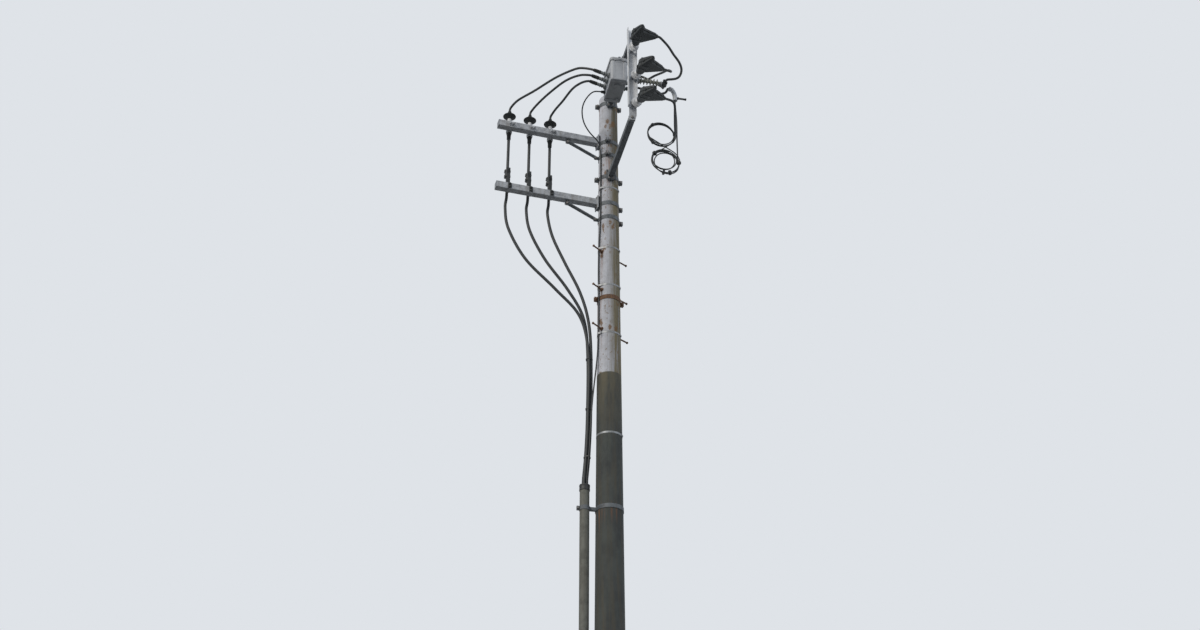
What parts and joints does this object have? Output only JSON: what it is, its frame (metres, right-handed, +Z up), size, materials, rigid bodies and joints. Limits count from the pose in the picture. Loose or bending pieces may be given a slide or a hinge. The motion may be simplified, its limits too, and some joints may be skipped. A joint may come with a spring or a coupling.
{
  "type": "concrete utility pole with a cable head",
  "caption": "Tapered concrete utility pole with a D-shaped steel arm, strain insulators in black covers, a box switch, side arms with cable terminations, and a riser conduit.",
  "frame": {"origin": "middle of the pole at ground level, on the foot's face", "axes": "+Z up the pole; the D-shaped arm with the line gear points along -Y; the side arms point along -X, turned 5 degrees towards -Y"},
  "size_m": [1.7407, 1.7603, 12.55],
  "materials": {
    "concrete": "matte, spun and weathered",
    "weathered_steel": "rusted",
    "galvanised_steel": "hot-dip zinc, dull",
    "dull_galvanised_steel": "old zinc, dark",
    "cap_plastic": "matte",
    "white_porcelain": "glazed",
    "grey_porcelain": "glazed, dusty",
    "black_cover": "matte",
    "black_fittings": "matte",
    "switch_paint": "semi-gloss paint",
    "grey_rubber": "matte",
    "black_rubber": "matte",
    "cable_sheath": "matte",
    "grey_sleeve": "matte",
    "conduit_steel": "weathered zinc",
    "stainless_strap": "bright"
  },
  "bodies": {
    "root": {"pole_shaft": "concrete", "pole_cap": "concrete", "step_bolts": "weathered_steel", "step_band": "weathered_steel", "upper_side_arm": "galvanised_steel", "lower_side_arm": "galvanised_steel", "side_arm_caps": "cap_plastic", "upper_arm_tie": "galvanised_steel", "lower_arm_tie": "galvanised_steel", "upper_arm_bands": "galvanised_steel", "lower_arm_bands": "galvanised_steel", "d_upper_beam": "galvanised_steel", "d_lower_beam": "dull_galvanised_steel", "d_upright": "galvanised_steel", "d_lower_joint": "galvanised_steel", "d_upper_band": "galvanised_steel", "d_lower_band": "galvanised_steel", "strain_insulator_top": "white_porcelain", "strain_insulator_middle": "white_porcelain", "strain_insulator_bottom": "white_porcelain", "clamp_cover_top": "black_cover", "clamp_cover_middle": "black_cover", "clamp_cover_bottom": "black_cover", "jumper_insulator": "grey_porcelain", "jumper_clamp": "black_fittings", "jumper_top": "cable_sheath", "switch_tank": "switch_paint", "switch_lid": "switch_paint", "switch_hangers": "galvanised_steel", "load_bushings": "grey_rubber", "line_bushings": "grey_rubber", "load_boots": "black_rubber", "line_boots": "black_rubber", "control_gland": "black_fittings", "load_lead_front": "cable_sheath", "load_lead_middle": "cable_sheath", "load_lead_rear": "cable_sheath", "line_lead_front": "cable_sheath", "line_lead_middle": "cable_sheath", "line_lead_rear": "cable_sheath", "termination_outer": "black_rubber", "termination_middle": "black_rubber", "termination_inner": "black_rubber", "termination_brackets": "galvanised_steel", "drop_cable_outer": "cable_sheath", "drop_cable_middle": "cable_sheath", "drop_cable_inner": "cable_sheath", "cable_cleats": "black_fittings", "control_cable": "cable_sheath", "spare_coils": "cable_sheath", "coil_feed": "cable_sheath", "coil_return": "cable_sheath", "coil_sleeve": "grey_sleeve", "riser_conduit": "conduit_steel", "riser_mouth": "black_fittings", "riser_bands": "galvanised_steel", "cable_straps": "stainless_strap"}
  },
  "joints": []
}
